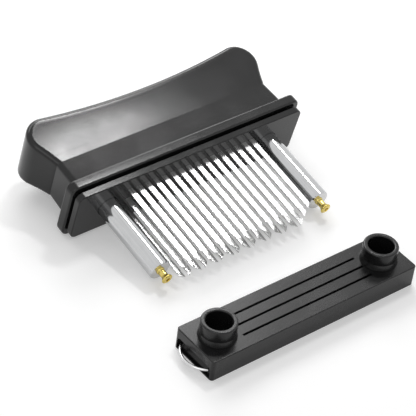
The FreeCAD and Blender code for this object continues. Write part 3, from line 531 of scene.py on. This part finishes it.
def make_handle():
    """The whole moulding: grip, waist, flange, mouth, hollow and the posts' wells."""
    band, columns, ring = grip_rows()
    mesh = bmesh.new()
    add_grid(mesh, band)
    add_grid(mesh, columns)
    add_grid(mesh, [[Vector((p.x, -p.y, p.z)) for p in column] for column in columns])
    rings = [ring, fitted(ring, WAIST_HALF, FLANGE_LEVELS[1])] + flange_rings(ring) + hollow_rings(ring)
    add_grid(mesh, [row + row[:1] for row in rings])
    for side in (-1, 1):
        add_grid(mesh, turned_rows(WELL_PROFILE, side * POST_HALF_SPACING, WELL_STEPS))
    bmesh.ops.remove_doubles(mesh, verts=mesh.verts, dist=JOIN_DISTANCE)
    open_edges = [edge for edge in mesh.edges if len(edge.link_faces) == 1]
    bmesh.ops.triangle_fill(mesh, use_beauty=True, edges=open_edges)
    piece = finish_piece(
        mesh, "handle_moulding", "handle_shell", "head", HEAD_LAY, (CREASE_HEIGHT,))
    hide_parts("handle_shell")


# Studs: plain neck, flared head with a rounded end and a socket, as (radius, height) points

STUD_STEPS = 64
STUD_SHANK = [(0.0, -47.6), (2.0, -47.6), (2.0, -50.98)]
STUD_COLLAR = [(2.5, -50.98), (2.5, -51.5), (2.4, -51.7), (2.14, -51.8)]
STUD_NECK = [(2.1, -52.1), (2.1, -55.0), (2.16, -55.5), (2.36, -55.9)]
STUD_FLARE = [(3.22, -57.2), (3.34, -57.45), (3.35, -57.6), (3.28, -57.8)]
STUD_END = [(2.95, -58.1), (2.3, -58.32), (1.45, -58.42)]
STUD_SOCKET = [(1.3, -58.35), (1.22, -58.2), (1.2, -57.2), (1.0, -56.9), (0.0, -56.8)]
STUD_PROFILE = STUD_SHANK + STUD_COLLAR + STUD_NECK + STUD_FLARE + STUD_END + STUD_SOCKET


def make_studs():
    """A stud in the end of each post."""
    for name, side in SIDES:
        mesh = bmesh.new()
        add_grid(mesh, turned_rows(STUD_PROFILE, side * POST_HALF_SPACING, STUD_STEPS))
        piece = finish_piece(mesh, "stud_" + name, "brass", "post_" + name, HEAD_LAY)
        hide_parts("brass_stud_" + name)


# Scoop: painted shade, a black bar with a hollow top set in the fingertip notch in the guard's left end,
# under the wire, where the notch's floor is in shade

SCOOP_PROFILE = [(4.45, 0.05), (4.45, 3.4), (0.8, 0.9), (0.0, 0.7), (0.0, 0.05)]
SCOOP_HALF = 13.95
SCOOP_SAG = 0.8
SCOOP_STEPS = 10


def make_notch_shade_scoop():
    """A bar with a hollow upper side, along the notch between its side walls."""
    corner, lip = Vector(SCOOP_PROFILE[1]), Vector(SCOOP_PROFILE[2])
    hollow = []
    for step in range(1, SCOOP_STEPS):
        share = step / SCOOP_STEPS
        place = corner.lerp(lip, share)
        hollow.append((place.x, place.y - 4 * SCOOP_SAG * share * (1 - share)))
    profile = SCOOP_PROFILE[:2] + hollow + SCOOP_PROFILE[2:]
    rows = [[Vector((x, y, z)) for x, z in profile] for y in (-SCOOP_HALF, SCOOP_HALF)]
    mesh = bmesh.new()
    add_grid(mesh, [row + row[:1] for row in rows])
    bmesh.ops.remove_doubles(mesh, verts=mesh.verts, dist=JOIN_DISTANCE)
    bmesh.ops.holes_fill(mesh, edges=mesh.edges)
    low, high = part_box("guard_body")
    place = Vector((low[0], (low[1] + high[1]) / 2, low[2])) * MM_PER_METRE
    # The bar is dark guard plastic put where the notch shows only shade: painted shade
    finish_piece(mesh, "notch_shade_scoop", "guard_body", "guard", Matrix.Translation(place))


# Springs: copies of the solids' coils

# A coil's length at rest, and how far its joint presses it
POST_COIL = (102.5, 38.0)
LOCK_COIL = (13.6, 4.2)


def shorten_spring(node, body, joint, axis, anchor, length, travel):
    """A copy of a spring's mesh in its place, on its body; joint, axis, anchor, length and travel are not
    used.
    """
    coil = bpy.data.objects.new("coil_" + node, nodes[node].data.copy())
    bpy.context.scene.collection.objects.link(coil)
    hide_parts(node)
    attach(coil, body)
    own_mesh(coil)


def make_springs():
    """The two post springs and the lock's spring."""
    up = HEAD_LAY.to_3x3() @ Vector((0, 0, 1))
    for name, side in SIDES:
        top = HEAD_LAY @ Vector((side * POST_HALF_SPACING, 0, WELL_CEILING)) * METRES_PER_MM
        shorten_spring(
            "post_spring_" + name, "head", "post_slide_" + name, tuple(up), tuple(top), *POST_COIL)
    fixed_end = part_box("lock_spring")[0]
    shorten_spring("lock_spring", "guard", "lock_slide", (1, 0, 0), tuple(fixed_end), *LOCK_COIL)


make_handle()
make_studs()
make_notch_shade_scoop()
make_springs()


# Floor and world

def seen_directly(tree):
    """1 for rays from the camera, a mirror or glass, and 0 for the rays that light the object."""
    path = tree.nodes.new("ShaderNodeLightPath")
    either = combine(tree, "MAXIMUM", path.outputs["Is Camera Ray"], path.outputs["Is Glossy Ray"])
    return combine(tree, "MAXIMUM", either, path.outputs["Is Transmission Ray"])


def make_floor(half, glow):
    """A pale square floor, lifted to white where it is seen directly."""
    bpy.ops.mesh.primitive_plane_add(size=2 * half)
    floor = bpy.context.object
    floor.name = "floor"
    material, tree, shader = new_material("floor_white")
    shader.inputs["Base Color"].default_value = (0.86, 0.86, 0.86, 1)
    shader.inputs["Roughness"].default_value = 0.9
    shader.inputs["Specular IOR Level"].default_value = 0.0
    shader.inputs["Emission Color"].default_value = (1, 1, 1, 1)
    lift = combine(tree, "MULTIPLY", seen_directly(tree), glow)
    tree.links.new(lift, shader.inputs["Emission Strength"])
    floor.data.materials.append(material)


def make_world(lighting):
    """A world that looks white and lights the object at a lower level."""
    world = bpy.data.worlds.new("studio")
    world.use_nodes = True
    tree = world.node_tree
    background = tree.nodes["Background"]
    background.inputs["Color"].default_value = (1, 1, 1, 1)
    direct = seen_directly(tree)
    level = combine(tree, "ADD", combine(tree, "MULTIPLY", direct, 1 - lighting), lighting)
    tree.links.new(level, background.inputs["Strength"])
    bpy.context.scene.world = world


def add_lamp(name, place, target, width, depth, power):
    """A rectangular lamp, sizes in metres and power in watts."""
    data = bpy.data.lights.new(name, "AREA")
    data.shape = "RECTANGLE"
    data.size = width
    data.size_y = depth
    data.energy = power
    lamp = bpy.data.objects.new(name, data)
    lamp.location = place
    lamp.rotation_euler = (Vector(target) - Vector(place)).to_track_quat("-Z", "Y").to_euler()
    bpy.context.scene.collection.objects.link(lamp)


NEAR_MIDDLE = (-0.03, 0.03, 0.02)

make_floor(half=4.0, glow=0.27)
make_world(lighting=0.4)
add_lamp("soft_box", (0.44, 0.265, 0.93), (-0.04, 0.07, 0.04), width=0.2, depth=0.1, power=2.2)
add_lamp("key", (0.5, 0.85, 0.75), NEAR_MIDDLE, width=0.5, depth=0.5, power=5)
add_lamp("back", (-0.1, 0.95, 0.9), NEAR_MIDDLE, width=0.7, depth=0.4, power=3)
add_lamp("fill", (-0.9, -0.5, 0.8), (0, 0, 0.02), width=0.8, depth=0.8, power=2)


# Camera

SENSOR_WIDTH = 36
CLIP_START = 0.01


def make_camera(azimuth, elevation, roll, distance, lens, target):
    """A camera aimed at its target: angles in degrees, distance in metres, lens in millimetres."""
    around, up = math.radians(azimuth), math.radians(elevation)
    ahead = Vector((-math.sin(around) * math.cos(up), math.cos(around) * math.cos(up), -math.sin(up)))
    right = Vector((math.cos(around), math.sin(around), 0))
    above = right.cross(ahead)
    turn = math.radians(roll)
    side = right * math.cos(turn) + above * math.sin(turn)
    top = above * math.cos(turn) - right * math.sin(turn)
    data = bpy.data.cameras.new("camera")
    data.lens = lens
    data.sensor_width = SENSOR_WIDTH
    data.clip_start = CLIP_START
    camera = bpy.data.objects.new("camera", data)
    axes = Matrix((side, top, -ahead)).transposed().to_4x4()
    camera.matrix_world = Matrix.Translation(Vector(target) - ahead * distance) @ axes
    bpy.context.scene.collection.objects.link(camera)
    bpy.context.scene.camera = camera


make_camera(
    azimuth=-43.27, elevation=39.90, roll=8, distance=1.122, lens=173.08, target=(-0.009, -0.0002, 0.020))

bpy.context.scene.view_settings.view_transform = "Standard"
